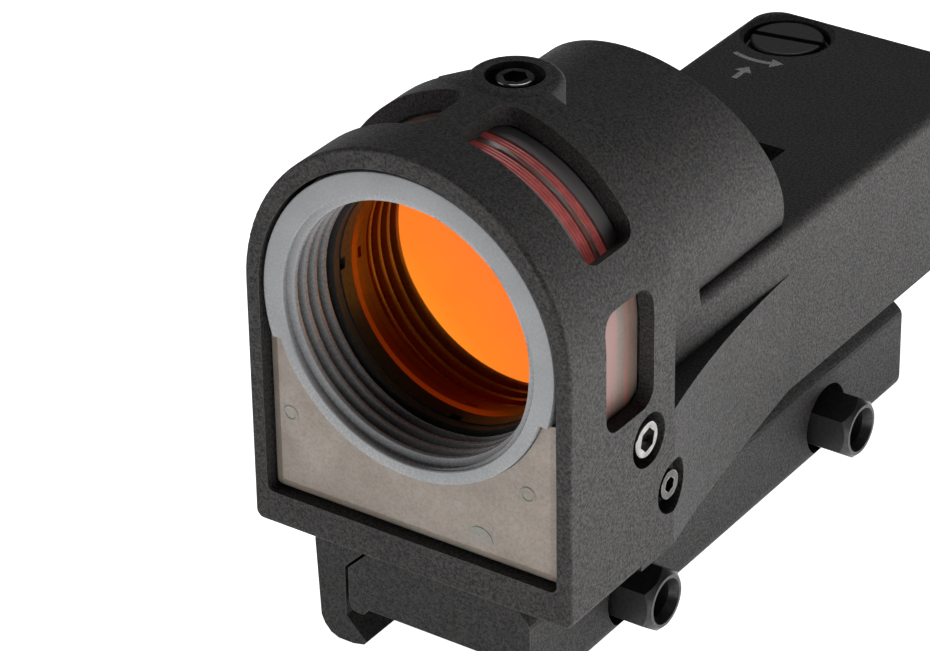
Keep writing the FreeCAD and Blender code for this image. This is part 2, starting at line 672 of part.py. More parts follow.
def windage_carriage():
    y, z = WINDAGE_YZ
    slide = block(-7, 7, 97.2, 104.2, -22.5, -14.9)
    tongue = block(-6, 6, 104.0, 105.8, -22.4, -17.1)
    slide = slide.fuse(tongue).removeSplitter()
    half = 1.55
    travel = 0.85
    slide = slide.cut(block(-8, 2.5, y - half, y + half, z - travel, z + travel))
    for dz in (-travel, travel):
        slide = slide.cut(rod("X", half, (-8, y, z + dz), 10.5))
    return slide.cut(rod("Y", 2.6, (0, 95, RETICLE_Z), 99.1 - 95))


def reticle_holder():
    body = rod("Y", 2.55, (0, 91, RETICLE_Z), 8.0)
    body = body.cut(rod("Y", 1.9, (0, 90, RETICLE_Z), 8.2))
    return body.cut(rod("X", 0.6, (0, 95, RETICLE_Z + 0.8), 5))


def reticle_disc():
    return rod("Y", 1.85, (0, 91.3, RETICLE_Z), 0.6)


def lamp_capsule():
    return rod("Y", 1.4, (0, 92.2, RETICLE_Z), 5.8)


def emitter_window():
    bottom = BODY_BOTTOM + COVER_THICK
    return block(-8, 8, 88, 89.2, bottom, DECK_Z - DECK_THICK - FIT)


# ---- the rail mount, drawn about the rail seat ----
def bolt_places():
    return [BOLT_FIRST, BOLT_FIRST + BOLT_SPACING]


def mount_base():
    """Base block with the fixed jaw on +X and a 45 degree shoulder on -X for the clamp bar."""
    left = BASE_LEFT
    shoulder = 5.4
    lip = -1.0
    outline = [(left + MOUNT_TOP - shoulder, MOUNT_TOP), (left, shoulder), (left, 0.5),
               (left + 0.2, -0.3), (left + 0.6, -0.8), (left + 1.2, lip), (left + 2.2, lip),
               (-SEAT_HALF, 0),
               (SEAT_HALF, 0), (SEAT_HALF + 0.7, lip), (RAIL_HALF + 0.6, lip),
               (RAIL_HALF + 0.6, RAIL_GRIP_Z + 0.6), (RAIL_HALF - 1.6, RAIL_GRIP_Z - 1.6),
               (RAIL_HALF - 1.2, JAW_BOTTOM)]
    centre = (MOUNT_SIDE - 2.5, JAW_BOTTOM + 2.5)
    for k in range(7):
        a = math.radians(-90 + 15 * k)
        outline.append((centre[0] + 2.5 * math.cos(a), centre[1] + 2.5 * math.sin(a)))
    outline += [(MOUNT_SIDE, 6.0), (MOUNT_SIDE - 0.15, 6.55), (MOUNT_SIDE - 0.5, 7.0),
                (MOUNT_SIDE - 3.6, MOUNT_TOP)]
    end = MOUNT_FRONT + MOUNT_LENGTH
    base = prism_y(outline, MOUNT_FRONT, end)

    rear = [e for e in base.Edges if len(e.Vertexes) == 2
            and all(abs(v.Y - end) < 1e-6 for v in e.Vertexes)
            and all(abs(v.Z - MOUNT_TOP) < 1e-6 for v in e.Vertexes)]
    base = base.makeFillet(3.2, rear)
    for y in bolt_places():
        base = base.cut(rod("X", BOLT_RADIUS + 0.08, (-30, y, BOLT_Z), 60))
        base = base.cut(rod("X", NUT_RECESS, (NUT_INNER - 0.1, y, BOLT_Z), 10))
    for y in MOUNT_SCREW_Y:
        base = base.cut(rod("Z", 3.7, (0, y, -1), 5.4))
        base = base.cut(rod("Z", 2.15, (0, y, 0), 20))
    return base.removeSplitter()


def mount_screws():
    screws = []
    for y in MOUNT_SCREW_Y:
        head = rod("Z", 3.5, (0, y, 0.4), 4.0)
        shank = rod("Z", 2.0, (0, y, 4.3), MOUNT_TOP - 4.3 + 4.2)
        screws.append(head.fuse(shank).cut(hexagon("Z", 1.75, (0, y, 0.4), 2.2)))
    return Part.makeCompound(screws)


def clamp_bar():
    inner = BASE_LEFT - CLAMP_GAP
    top = 9.6
    shoulder = 5.45
    outline = [(inner + top - shoulder, top), (-14.9, top)]
    for k in range(1, 5):
        a = math.radians(90 + 22.5 * k)
        outline.append((-14.9 + 1.5 * math.cos(a), top - 1.5 + 1.5 * math.sin(a)))
    outline += [(-15.85, -3.3), (-15.3, -4.5), (-14.4, -5.5), (-13.2, CLAMP_BOTTOM),
                (-10.9, CLAMP_BOTTOM), (-9.2, -5.6), (-8.75, -5.1), (inner, -2.0), (inner, shoulder)]
    end = MOUNT_FRONT + MOUNT_LENGTH
    bar = prism_y(outline, MOUNT_FRONT, end)
    for y in bolt_places():
        bar = bar.cut(rod("X", BOLT_RADIUS + FIT, (-30, y, BOLT_Z), 25))
        bar = bar.cut(rod("X", 3.85, (-30, y, BOLT_Z), 16.0))
    return bar.removeSplitter()


def cross_bolts():
    bolts = []
    for y in bolt_places():
        head = rod("X", 3.8, (-15.9, y, BOLT_Z), 1.85)
        slot = block(-17, -15.1, y - 4, y + 4, BOLT_Z - 0.5, BOLT_Z + 0.5)
        shank = rod("X", BOLT_RADIUS, (-14.2, y, BOLT_Z), 32)
        bolts.append(head.cut(slot).fuse(shank))
    return Part.makeCompound(bolts)


def clamp_nut(y):
    corner = NUT_FLATS / math.sqrt(3)
    length = NUT_OUTER - NUT_INNER
    nut = hexagon("X", corner, (NUT_INNER, y, BOLT_Z), length, 24)
    dome = cone("X", NUT_FACE + length, NUT_FACE, (NUT_INNER, y, BOLT_Z), length)
    nut = nut.common(dome)
    nut = nut.cut(rod("X", BOLT_RADIUS + 0.08, (NUT_INNER - 1, y, BOLT_Z), 20))
    return nut.cut(cone("X", BOLT_RADIUS, BOLT_RADIUS + 0.65, (NUT_OUTER - 1.5, y, BOLT_Z), 1.5))


def front_nut():
    return clamp_nut(bolt_places()[0])


def rear_nut():
    return clamp_nut(bolt_places()[1])


# ---- everything into the rail seat's frame ----
OPTICAL = [housing, bottom_cover, cover_screws, light_collector, fibre_coil, fibre_lead,
           threaded_ring, ring_seal, lens_retainer, lens_cell, objective_lens, reflector_lens,
           head_screws, side_set_screws, elevation_screw, elevation_clip, windage_screw,
           windage_clip, adjuster_orings, click_balls, click_springs, elevation_carriage,
           guide_pins, carriage_spring, windage_carriage, reticle_holder, reticle_disc,
           lamp_capsule, emitter_window]
MOUNT = [mount_base, mount_screws, clamp_bar, cross_bolts, front_nut, rear_nut]


def place(build, height):
    shape = build()
    shape.translate(Vector(0, ORIGIN_Y, height))
    shape.exportStep("parts/" + build.__name__ + ".step")


for piece in OPTICAL:
    place(piece, AXIS_HEIGHT)
for piece in MOUNT:
    place(piece, 0)
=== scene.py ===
"""Looks of the enclosed reflex sight: materials, cut thread, wound fibre, stage and camera.

Metres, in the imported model's frame: +Y runs from the lens end to the rear, +Z is up and +X is
the side that the clamp nuts stand out of. MM turns the sizes below into metres.
"""
import math

import bmesh
import bpy
from mathutils import Matrix, Vector


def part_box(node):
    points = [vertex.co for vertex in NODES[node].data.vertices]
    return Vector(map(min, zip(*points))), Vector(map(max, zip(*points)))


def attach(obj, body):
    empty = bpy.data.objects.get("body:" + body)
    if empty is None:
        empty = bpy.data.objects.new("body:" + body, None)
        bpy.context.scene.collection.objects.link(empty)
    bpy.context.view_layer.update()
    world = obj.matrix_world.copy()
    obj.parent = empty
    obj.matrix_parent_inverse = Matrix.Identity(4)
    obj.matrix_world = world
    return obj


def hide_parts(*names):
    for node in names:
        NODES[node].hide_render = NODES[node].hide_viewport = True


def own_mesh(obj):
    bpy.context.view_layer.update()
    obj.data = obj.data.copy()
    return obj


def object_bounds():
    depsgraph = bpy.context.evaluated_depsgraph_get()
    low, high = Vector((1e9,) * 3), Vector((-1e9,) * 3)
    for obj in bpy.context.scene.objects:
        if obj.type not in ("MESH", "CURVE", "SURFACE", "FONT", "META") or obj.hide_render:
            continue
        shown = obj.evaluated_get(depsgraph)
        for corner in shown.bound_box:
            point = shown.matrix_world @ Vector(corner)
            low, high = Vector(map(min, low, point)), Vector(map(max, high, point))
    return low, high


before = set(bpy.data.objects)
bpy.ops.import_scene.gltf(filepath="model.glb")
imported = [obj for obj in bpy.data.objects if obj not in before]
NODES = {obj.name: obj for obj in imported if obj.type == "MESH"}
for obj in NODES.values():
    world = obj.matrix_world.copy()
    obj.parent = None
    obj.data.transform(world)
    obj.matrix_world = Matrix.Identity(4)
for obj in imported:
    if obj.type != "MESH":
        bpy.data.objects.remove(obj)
cad_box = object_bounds()

MM = 0.001
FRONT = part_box("housing")[0].y
AXIS_Z = sum(corner.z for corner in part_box("objective_lens")) / 2
FLOOR_Z = cad_box[0].z
FLOOR_SIZE = 8.0             # metres
FLOOR_GAP = 0.02             # below the jaws, so that the two share no plane
FLOOR_GLOW = 1.08
FLOOR_SIDE_GLOW = 1.7        # added towards +X, as from a lit table beside the sight
FLOOR_SIDE = (10.0, 90.0)    # where that glow starts, and where it is full
WORLD_LIGHT = 0.03
LIGHTS_AIM_Z = 30 * MM

# ---- camera: where it stands round the middle of the front face ----
AZIMUTH = 34.91
ELEVATION = 29.99
ROLL = -0.99
DISTANCE = 498.2 * MM
AIM_RIGHT = 7.39 * MM
AIM_UP = 1.17 * MM
LENS = 160.0
SENSOR = 36.0

# ---- threaded ring, from the front face and the lens axis ----
RING_FACE = 0.3
FLANGE_RADIUS = 21.45
FLANGE_LOWER = 20.3
FLANGE_STEP_Z = -6.6
FLANGE_BACK = 2.8
MOUTH_RADIUS = 18.45
RING_BODY = 19.2
RING_BACK = 9.0
THREAD_START = 0.75
THREAD_END = 8.6
THREAD_PITCH = 2.0
THREAD_ROOT = 18.4
THREAD_DEPTH = 1.05
THREAD_LEAD_IN = 0.3
THREAD_RUN_OUT = 0.5
RELIEF_RADIUS = 18.4
FLANGE_ROUND = 0.3
FLANGE_ROUND_CUT = 0.09
MOUTH_CHAMFER = 0.14

# ---- warm glow at the lower left of the glass's rim, painted on by place ----
RIM_GLOW = 0.11
RIM_GLOW_RADII = (15.9, 16.1)        # from none to full
RIM_GLOW_SLANT = (-7.0, -15.0)       # x + z, from none to full

# ---- wound fibre ----
FIBRE_COIL_RADIUS = 20.98
FIBRE_RADIUS = 0.275
FIBRE_BANDS = ((11.4, 13.6, 4), (14.4, 16.1, 3))     # near side, far side, number of turns
FIBRE_START = -1.6
FIBRE_JOG = 0.06

# ---- return spring under the elevation carriage ----
SPRING_XY = (10.3, 108.6)
SPRING_ENDS = (-32.1, -20.05)
SPRING_RADIUS = 1.9
SPRING_WIRE = 0.3
SPRING_TURNS = 9
SPRING_CLOSED = 0.8          # turns that lie flat at each end

# ---- moulded marks on the light collector's face; each place is (across, height) ----
PANEL_Y = 1.2
PANEL_RINGS = ((-18.6, -17.6), (17.0, -17.4))
PANEL_RING_RADIUS = 0.95
PANEL_BEAD = (0.2, 0.1)      # half the width of the raised line, and its height
HALF_MOON = (9.9, -26.4)
HALF_MOON_RADIUS = 1.9
HALF_MOON_LIFT = 0.08

# ---- painted arrows on the rear deck, round the upright adjuster; angles in degrees ----
DECK_Z = -7.4
ADJUSTER = (-10.7, 109.2)
ARC_RADIUS = 9.3
ARC_FROM = -112.0
ARC_TO = -66.0
ARC_WIDTH = 0.75
TURN_HEAD_BACK = 8           # the arrow head starts this far before the arc's end
TURN_HEAD_TIP = 3            # and its tip is this far past it
TURN_HEAD_HALF = 1.3
UP_ARROW = (0.6, -15.6)      # foot of the straight arrow, from the adjuster
UP_SHAFT_HALF = 0.4
UP_SHAFT = 2.4
UP_HEAD_HALF = 1.35
UP_LENGTH = 4.1
PAINT = 0.03
PAINT_SLOT = "mark_paint"    # a finish of this scene only; the record has no slot for it


# ---- node helpers ----
def new_material(name, colour, roughness, metallic=0.0, **sockets):
    """A Principled material; sockets are its other inputs, with _ for a space."""
    mat = bpy.data.materials.new(name)
    mat.use_nodes = True
    shader = mat.node_tree.nodes["Principled BSDF"]
    shader.inputs["Base Color"].default_value = (*colour, 1)
    shader.inputs["Roughness"].default_value = roughness
    shader.inputs["Metallic"].default_value = metallic
    for socket, value in sockets.items():
        shader.inputs[socket.replace("_", " ")].default_value = value
    return mat


def add(mat, kind, **values):
    """A new shader node; values are its inputs, with _ for a space."""
    made = mat.node_tree.nodes.new(kind)
    for socket, value in values.items():
        made.inputs[socket.replace("_", " ")].default_value = value
    return made


def join(mat, output, target):
    """Links one node's output to another's input."""
    mat.node_tree.links.new(output, target)


def principled(mat):
    """The material's main shader node."""
    return mat.node_tree.nodes["Principled BSDF"]


def place_of(mat, stretch=(1, 1, 1)):
    """Coordinates that stay with the piece, in metres."""
    where = add(mat, "ShaderNodeTexCoord")
    mapping = add(mat, "ShaderNodeMapping", Scale=stretch)
    join(mat, where.outputs["Object"], mapping.inputs["Vector"])
    return mapping.outputs["Vector"]


def noise(mat, size_mm, detail=2.0, rough=0.5, stretch=(1, 1, 1)):
    """Cloudy noise from 0 to 1, with features of about this size."""
    texture = add(mat, "ShaderNodeTexNoise", Scale=1 / (size_mm * MM), Detail=detail,
                  Roughness=rough)
    join(mat, place_of(mat, stretch), texture.inputs["Vector"])
    return texture.outputs["Fac"]


def calculate(mat, kind, first, second=0.0):
    """One sum on a value, or on two."""
    made = add(mat, "ShaderNodeMath")
    made.operation = kind
    for value, socket in zip((first, second), made.inputs):
        if isinstance(value, bpy.types.NodeSocket):
            join(mat, value, socket)
        else:
            socket.default_value = value
    return made.outputs["Value"]


def from_lens(mat):
    """The piece's own place as x, y, z in millimetres from the front face and the lens axis."""
    where = add(mat, "ShaderNodeTexCoord")
    parts = add(mat, "ShaderNodeSeparateXYZ")
    join(mat, where.outputs["Object"], parts.inputs["Vector"])
    x = calculate(mat, "DIVIDE", parts.outputs["X"], MM)
    y = calculate(mat, "DIVIDE", calculate(mat, "SUBTRACT", parts.outputs["Y"], FRONT), MM)
    z = calculate(mat, "DIVIDE", calculate(mat, "SUBTRACT", parts.outputs["Z"], AXIS_Z), MM)
    return x, y, z


def off_axis(mat, x, z):
    """The distance from the lens axis."""
    squares = calculate(mat, "ADD", calculate(mat, "MULTIPLY", x, x), calculate(mat, "MULTIPLY", z, z))
    return calculate(mat, "SQRT", squares)


def spread(mat, value, low, high):
    """The value as 0 at low and 1 at high."""
    made = add(mat, "ShaderNodeMapRange")
    join(mat, value, made.inputs["Value"])
    made.inputs["From Min"].default_value = low
    made.inputs["From Max"].default_value = high
    return made.outputs["Result"]


def ramp(mat, factor, *stops):
    """Colours or greys against a factor; each stop is (position, colour or grey)."""
    made = add(mat, "ShaderNodeValToRGB")
    elements = made.color_ramp.elements
    while len(elements) < len(stops):
        elements.new(0.5)
    for element, (position, colour) in zip(elements, stops):
        element.position = position
        if isinstance(colour, (int, float)):
            colour = (colour, colour, colour)
        element.color = (*colour, 1)
    join(mat, factor, made.inputs["Fac"])
    return made.outputs["Color"]


def mix(mat, kind, amount, first, second):
    """Two colours blended by the amount; any of the three is a value or a node's output."""
    made = add(mat, "ShaderNodeMix")
    made.data_type = "RGBA"
    made.blend_type = kind
    for value, socket in ((amount, made.inputs["Factor"]), (first, made.inputs["A"]),
                          (second, made.inputs["B"])):
        if isinstance(value, bpy.types.NodeSocket):
            join(mat, value, socket)
        else:
            socket.default_value = value
    return made.outputs["Result"]


def bump(mat, height, strength, depth_mm):
    """Raises and sinks the surface by the height, which is 0 to 1."""
    made = add(mat, "ShaderNodeBump", Strength=strength, Distance=depth_mm * MM)
    join(mat, height, made.inputs["Height"])
    join(mat, made.outputs["Normal"], principled(mat).inputs["Normal"])


# ---- materials ----
def blasted_black(name, dark, light, grain_mm, depth_mm):
    """Black coating over bead-blasted metal: fine pits, light flecks and slow unevenness."""
    mat = new_material(name, light, 0.6, Specular_IOR_Level=0.28)
    grain = noise(mat, grain_mm, 4.0, 0.78)
    slow = noise(mat, 9.0, 3.0, 0.6)
    base = ramp(mat, grain, (0.38, dark), (0.46, light), (0.66, tuple(2.8 * c for c in light)))
    uneven = ramp(mat, slow, (0.3, 0.82), (0.7, 1.0))
    coat = mix(mat, "MULTIPLY", 1.0, base, uneven)
    # lighter along outer edges: partly rubbed coating, partly a painted highlight where edges catch the
    # light
    worn_and_highlit = ramp(mat, worn_and_highlit_edges(mat, slow), (0.0, 0.0), (1.0, 0.8))
    join(mat, mix(mat, "MIX", worn_and_highlit, coat, (0.1, 0.098, 0.095, 1)), principled(mat).inputs["Base Color"])
    join(mat, ramp(mat, grain, (0.35, 0.72), (0.7, 0.46)), principled(mat).inputs["Roughness"])
    bump(mat, grain, 0.9, depth_mm)
    return mat


def worn_and_highlit_edges(mat, patches):
    """1 along outer edges, broken up by the patches: partly where the coating has rubbed thin, partly a
    painted highlight where the edges catch the light.
    """
    rounded = add(mat, "ShaderNodeBevel", Radius=0.22 * MM)
    rounded.samples = 6
    flat = add(mat, "ShaderNodeNewGeometry")
    apart = add(mat, "ShaderNodeVectorMath")
    apart.operation = "DOT_PRODUCT"
    join(mat, rounded.outputs["Normal"], apart.inputs[0])
    join(mat, flat.outputs["Normal"], apart.inputs[1])
    edge = spread(mat, apart.outputs["Value"], 0.985, 0.86)
    return calculate(mat, "MULTIPLY", edge, spread(mat, patches, 0.36, 0.62))


def dark_metal(name, colour, roughness, metallic, scratch_mm=0.5):
    """Turned metal with a black finish and faint tool marks."""
    mat = new_material(name, colour, roughness, metallic)
    marks = noise(mat, scratch_mm, 4.0, 0.7)
    tone = ramp(mat, marks, (0.3, tuple(0.6 * c for c in colour)), (0.7, tuple(1.5 * c for c in colour)))
    join(mat, tone, principled(mat).inputs["Base Color"])
    join(mat, ramp(mat, marks, (0.3, roughness + 0.12), (0.7, roughness - 0.08)),
         principled(mat).inputs["Roughness"])
    bump(mat, marks, 0.3, 0.02)
    return mat


def edge_worn_and_highlit_steel():
    """Grey steel with brighter rims, partly worn and partly a painted highlight."""
    mat = dark_metal("worn_steel", (0.05, 0.048, 0.046), 0.25, 1.0, 1.6)
    tone = principled(mat).inputs["Base Color"].links[0].from_socket
    # brighter rims: partly wear, partly a painted highlight
    rims_worn_and_highlit = worn_and_highlit_edges(mat, noise(mat, 1.0))
    join(mat, mix(mat, "MIX", rims_worn_and_highlit, tone, (0.35, 0.34, 0.33, 1)), principled(mat).inputs["Base Color"])
    return mat


def collector_plastic():
    """Frosted translucent plastic: cloudy, with pinkish streaks, a grey shoulder inside and painted
    shade deeper in from the front face.
    """
    mat = new_material("collector_plastic", (0.33, 0.29, 0.25), 0.36,
                       Subsurface_Weight=0.35, Subsurface_Scale=0.0025)
    clouds = noise(mat, 5.0, 3.0, 0.5)
    fine = noise(mat, 0.42, 3.0, 0.7)
    base = ramp(mat, clouds, (0.25, (0.235, 0.193, 0.16)), (0.5, (0.285, 0.238, 0.2)),
                (0.75, (0.33, 0.28, 0.24)))
    specks = ramp(mat, fine, (0.34, 0.84), (0.48, 1.0), (0.7, 1.16))
    cloudy = mix(mat, "MULTIPLY", 1.0, base, specks)
    streaks = noise(mat, 1.3, 2.0, 0.5, (0.12, 1.0, 0.04))
    x, y, z = from_lens(mat)
    # painted shade: darker deeper in from the front face
    deep = spread(mat, y, 2.5, 6.0)
    shaded = mix(mat, "MULTIPLY", deep, cloudy, (0.5, 0.42, 0.4, 1))
    pink = calculate(mat, "MULTIPLY", spread(mat, streaks, 0.52, 0.6), deep)
    tinted = mix(mat, "MIX", calculate(mat, "MULTIPLY", pink, 0.85), shaded, (0.25, 0.1, 0.085, 1))
    shoulder = calculate(mat, "MULTIPLY", spread(mat, z, 4.0, 10.0), spread(mat, x, -2.0, 2.0))
    arch = calculate(mat, "MULTIPLY", shoulder, deep)
    tinted = mix(mat, "MIX", calculate(mat, "MULTIPLY", arch, 0.8), tinted, (0.17, 0.172, 0.178, 1))
    join(mat, tinted, principled(mat).inputs["Base Color"])
    bump(mat, fine, 0.2, 0.02)
    return mat


def grey_ring_with_painted_shade():
    """Light grey moulded ring with a satin face; painted shade darkens it in the thread's roots and
    deeper in.
    """
    mat = new_material("grey_ring", (0.30, 0.31, 0.32), 0.38)
    fine = noise(mat, 0.35, 3.0, 0.6)
    slow = noise(mat, 6.0, 3.0, 0.5)
    base = ramp(mat, slow, (0.3, (0.245, 0.252, 0.26)), (0.7, (0.288, 0.292, 0.3)))
    x, y, z = from_lens(mat)
    # painted shade: darker in the thread's roots and further into the bore
    inside = spread(mat, y, 0.6, 1.2)
    root = calculate(mat, "MULTIPLY", spread(mat, off_axis(mat, x, z), 17.5, 18.35), inside)
    deep = spread(mat, y, 1.2, 9.0)
    shade = mix(mat, "MULTIPLY", 1.0, ramp(mat, root, (0.0, 1.0), (1.0, 0.42)),
                ramp(mat, deep, (0.0, 1.0), (1.0, 0.62)))
    join(mat, mix(mat, "MULTIPLY", 1.0, base, shade), principled(mat).inputs["Base Color"])
    join(mat, ramp(mat, fine, (0.3, 0.32), (0.7, 0.22)), principled(mat).inputs["Roughness"])
    bump(mat, fine, 0.05, 0.01)
    return mat


def fibre_red():
    """Red light-gathering fibre, which glows faintly."""
    mat = new_material("red_fibre", (0.5, 0.13, 0.12), 0.34, Transmission_Weight=0.1,
                       Emission_Color=(0.6, 0.1, 0.09, 1), Emission_Strength=0.1)
    streaks = noise(mat, 1.5, 3.0, 0.6)
    base = ramp(mat, streaks, (0.3, (0.36, 0.09, 0.085)), (0.7, (0.6, 0.17, 0.16)))
    join(mat, base, principled(mat).inputs["Base Color"])
    return mat


def mirror_glass():
    """Amber mirror coating that also lets some light through; yellower to the lower left."""
    mat = new_material("coated_glass", (0.93, 0.18, 0.01), 0.03, 0.86, Transmission_Weight=1.0,
                       IOR=1.5)
    haze = noise(mat, 7.0, 2.0, 0.5)
    x, _, z = from_lens(mat)
    diagonal = calculate(mat, "ADD", x, z)
    slant = spread(mat, diagonal, -24.0, 24.0)
    base = ramp(mat, slant, (0.12, (0.86, 0.3, 0.006)), (0.42, (0.9, 0.19, 0.006)),
                (0.8, (0.95, 0.155, 0.02)))
    hazy = ramp(mat, haze, (0.3, 0.94), (0.7, 1.0))
    join(mat, mix(mat, "MULTIPLY", 1.0, base, hazy), principled(mat).inputs["Base Color"])
    join(mat, ramp(mat, haze, (0.3, 0.02), (0.7, 0.04)), principled(mat).inputs["Roughness"])
    # painted highlight: faint emission along the lower left of the rim stands for a bright edge
    rim = spread(mat, off_axis(mat, x, z), *RIM_GLOW_RADII)
    lower_left = spread(mat, diagonal, *RIM_GLOW_SLANT)
    glow = calculate(mat, "MULTIPLY", calculate(mat, "MULTIPLY", rim, lower_left), RIM_GLOW)
    principled(mat).inputs["Emission Color"].default_value = (0.95, 0.1, 0.005, 1)
    join(mat, glow, principled(mat).inputs["Emission Strength"])
    return mat


def clear(name, colour, roughness):
    """Clear glass, slightly uneven."""
    mat = new_material(name, colour, roughness, Transmission_Weight=1.0, IOR=1.5)
    haze = noise(mat, 2.0)
    join(mat, ramp(mat, haze, (0.3, roughness), (0.7, roughness + 0.04)),
         principled(mat).inputs["Roughness"])
    return mat


def rubber():
    """Dull black rubber with a fine grain."""
    mat = new_material("black_rubber", (0.012, 0.012, 0.012), 0.55)
    grain = noise(mat, 0.22, 3.0, 0.6)
    join(mat, ramp(mat, grain, (0.3, 0.008), (0.6, 0.02), (0.75, 0.07)),
         principled(mat).inputs["Base Color"])
    bump(mat, grain, 0.7, 0.06)
    return mat


def light_paint():
    """Thin grey paint, patchy where it sits on the grain of the coating."""
    mat = new_material("mark_paint", (0.3, 0.3, 0.3), 0.6)
    grain = noise(mat, 0.24, 3.0, 0.6)
    join(mat, ramp(mat, grain, (0.36, 0.06), (0.56, 0.34)), principled(mat).inputs["Base Color"])
    return mat


def make_materials():
    """Every finish, by the name of its slot."""
    black = (0.003, 0.003, 0.003)
    return {
        "coated_casting": blasted_black("coated_casting", black, (0.0215, 0.0198, 0.0192), 0.36, 0.17),
        "coated_mount": blasted_black("coated_mount", black, (0.0176, 0.0162, 0.0157), 0.32, 0.14),
        "black_steel": dark_metal("black_steel", (0.035, 0.035, 0.036), 0.34, 0.6),
        "screw_steel": dark_metal("screw_steel", (0.19, 0.183, 0.178), 0.17, 1.0, 1.6),
        "worn_steel": edge_worn_and_highlit_steel(),
        "black_metal": dark_metal("black_metal", (0.009, 0.009, 0.009), 0.46, 0.2),
        "grey_ring": grey_ring_with_painted_shade(),
        "collector_plastic": collector_plastic(),
        "red_fibre": fibre_red(),
        "coated_glass": mirror_glass(),
        "clear_glass": clear("clear_glass", (0.95, 0.97, 0.97), 0.02),
        "lamp_glass": clear("lamp_glass", (0.55, 0.95, 0.6), 0.1),
        "black_rubber": rubber(),
        "spring_steel": dark_metal("spring_steel", (0.42, 0.42, 0.43), 0.3, 1.0),
        "brass_block": dark_metal("brass_block", (0.62, 0.45, 0.19), 0.36, 1.0),
        PAINT_SLOT: light_paint(),
    }


def finish_cad_nodes(materials):
    """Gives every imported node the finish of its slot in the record."""
    for node in NODES.values():
        for index, slot in enumerate(node.material_slots):
            node.data.materials[index] = materials[slot.material.name.split(".")[0]]


# ---- mesh helpers ----
def at(x, y, z):
    """A point in millimetres from the front face and the lens axis, in the frame."""
    return Vector((x * MM, FRONT + y * MM, AXIS_Z + z * MM))


def piece(name, bm, materials, slot, body, stands_for=(), sharp=32):
    """Turns a bmesh into a named piece that rides on a body."""
    bmesh.ops.remove_doubles(bm, verts=bm.verts, dist=1e-7)
    bmesh.ops.dissolve_degenerate(bm, dist=1e-8, edges=bm.edges)
    bmesh.ops.recalc_face_normals(bm, faces=bm.faces)
    mesh = bpy.data.meshes.new(name)
    bm.to_mesh(mesh)
    bm.free()
    mesh.polygons.foreach_set("use_smooth", [True] * len(mesh.polygons))
    mesh.set_sharp_from_angle(angle=math.radians(sharp))
    made = bpy.data.objects.new(name, mesh)
    bpy.context.scene.collection.objects.link(made)
    mesh.materials.append(materials[slot])
    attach(made, body)
    if stands_for:
        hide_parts(*stands_for)
    return made


def skin(bm, rows):
    """Quads between rows of points; each row closes on itself and joins the next."""
    made = [[bm.verts.new(point) for point in row] for row in rows]
    for first, second in zip(made, made[1:]):
        count = len(first)
        for k in range(count):
            n = (k + 1) % count
            bm.faces.new([first[k], first[n], second[n], second[k]])


def cap_ends(bm, first, section):
    """Closes both ends of the last strand, whose vertices start at first."""
    bm.verts.ensure_lookup_table()
    bm.faces.new([bm.verts[first + s] for s in range(section)])
    bm.faces.new([bm.verts[-section + s] for s in range(section)])


# ---- the threaded ring ----
def thread_radius(turn):
    """Radius across one pitch of the thread: rounded ridges between flat roots."""
    swell = 0.5 + 0.85 * math.cos(2 * math.pi * turn)
    return THREAD_ROOT - THREAD_DEPTH * min(1.0, max(0.0, swell))


def bore_profile(angle):
    """Points (radius, y) down the threaded bore; the ridges climb one pitch a turn."""
    steps = 12
    turns = math.ceil((THREAD_END - THREAD_START) / THREAD_PITCH) + 1
    shift = angle / (2 * math.pi)
    points = []
    for k in range(-steps, turns * steps + 1):
        y = THREAD_START + THREAD_PITCH * (k / steps + shift)
        y = min(THREAD_END, max(THREAD_START, y))
        ease = min(1.0, (y - THREAD_START) / THREAD_LEAD_IN, (THREAD_END - y) / THREAD_RUN_OUT)
        radius = thread_radius(k / steps)
        points.append((THREAD_ROOT + (radius - THREAD_ROOT) * ease, y))
    return points


def ring_profile(angle, outer):
    """Points (radius, y) round the ring's section, where its flange has this outer radius."""
    front = [(outer, FLANGE_BACK), (outer, RING_FACE + FLANGE_ROUND),
             (outer - FLANGE_ROUND_CUT, RING_FACE + FLANGE_ROUND_CUT),
             (outer - FLANGE_ROUND, RING_FACE), (MOUTH_RADIUS + MOUTH_CHAMFER, RING_FACE),
             (MOUTH_RADIUS, RING_FACE + MOUTH_CHAMFER)]
    back = [(RELIEF_RADIUS, THREAD_END), (RELIEF_RADIUS, RING_BACK), (RING_BODY, RING_BACK),
            (RING_BODY, FLANGE_BACK)]
    return front + bore_profile(angle) + back


def threaded_ring(materials):
    """The grey ring with its thread cut; below a step on each side its flange is smaller."""
    count = 288
    step_out = math.asin(FLANGE_STEP_Z / FLANGE_RADIUS)
    step_in = math.asin(FLANGE_STEP_Z / FLANGE_LOWER)
    rows = []
    for k in range(count + 1):
        angle = 2 * math.pi * k / count
        above = math.sin(angle) > FLANGE_STEP_Z / FLANGE_RADIUS
        rows.append((angle, FLANGE_RADIUS if above else FLANGE_LOWER))
    for side in (0, 1):
        for step, outer in ((step_out, FLANGE_RADIUS), (step_in, FLANGE_LOWER)):
            angle = math.pi - step if side else 2 * math.pi + step
            rows.append((angle, outer))
    rows.sort(key=lambda row: (row[0], row[1] if row[0] > 1.5 * math.pi else -row[1]))
    bm = bmesh.new()
    points = []
    for angle, outer in rows:
        section = ring_profile(angle, outer)
        points.append([at(r * math.cos(angle), y, r * math.sin(angle)) for r, y in section])
    skin(bm, points)
    return piece("threaded_ring_cut", bm, materials, "grey_ring", "sight", ["threaded_ring"])


# ---- the wound fibre ----
def winding_place(turn, count):
    """How many pitches along a band the strand lies; it steps over once a turn, underneath."""
    whole = math.floor(turn)
    step = max(0.0, (turn - whole - 1 + FIBRE_JOG) / FIBRE_JOG)
    return min(count - 1, whole + step * step * (3 - 2 * step))


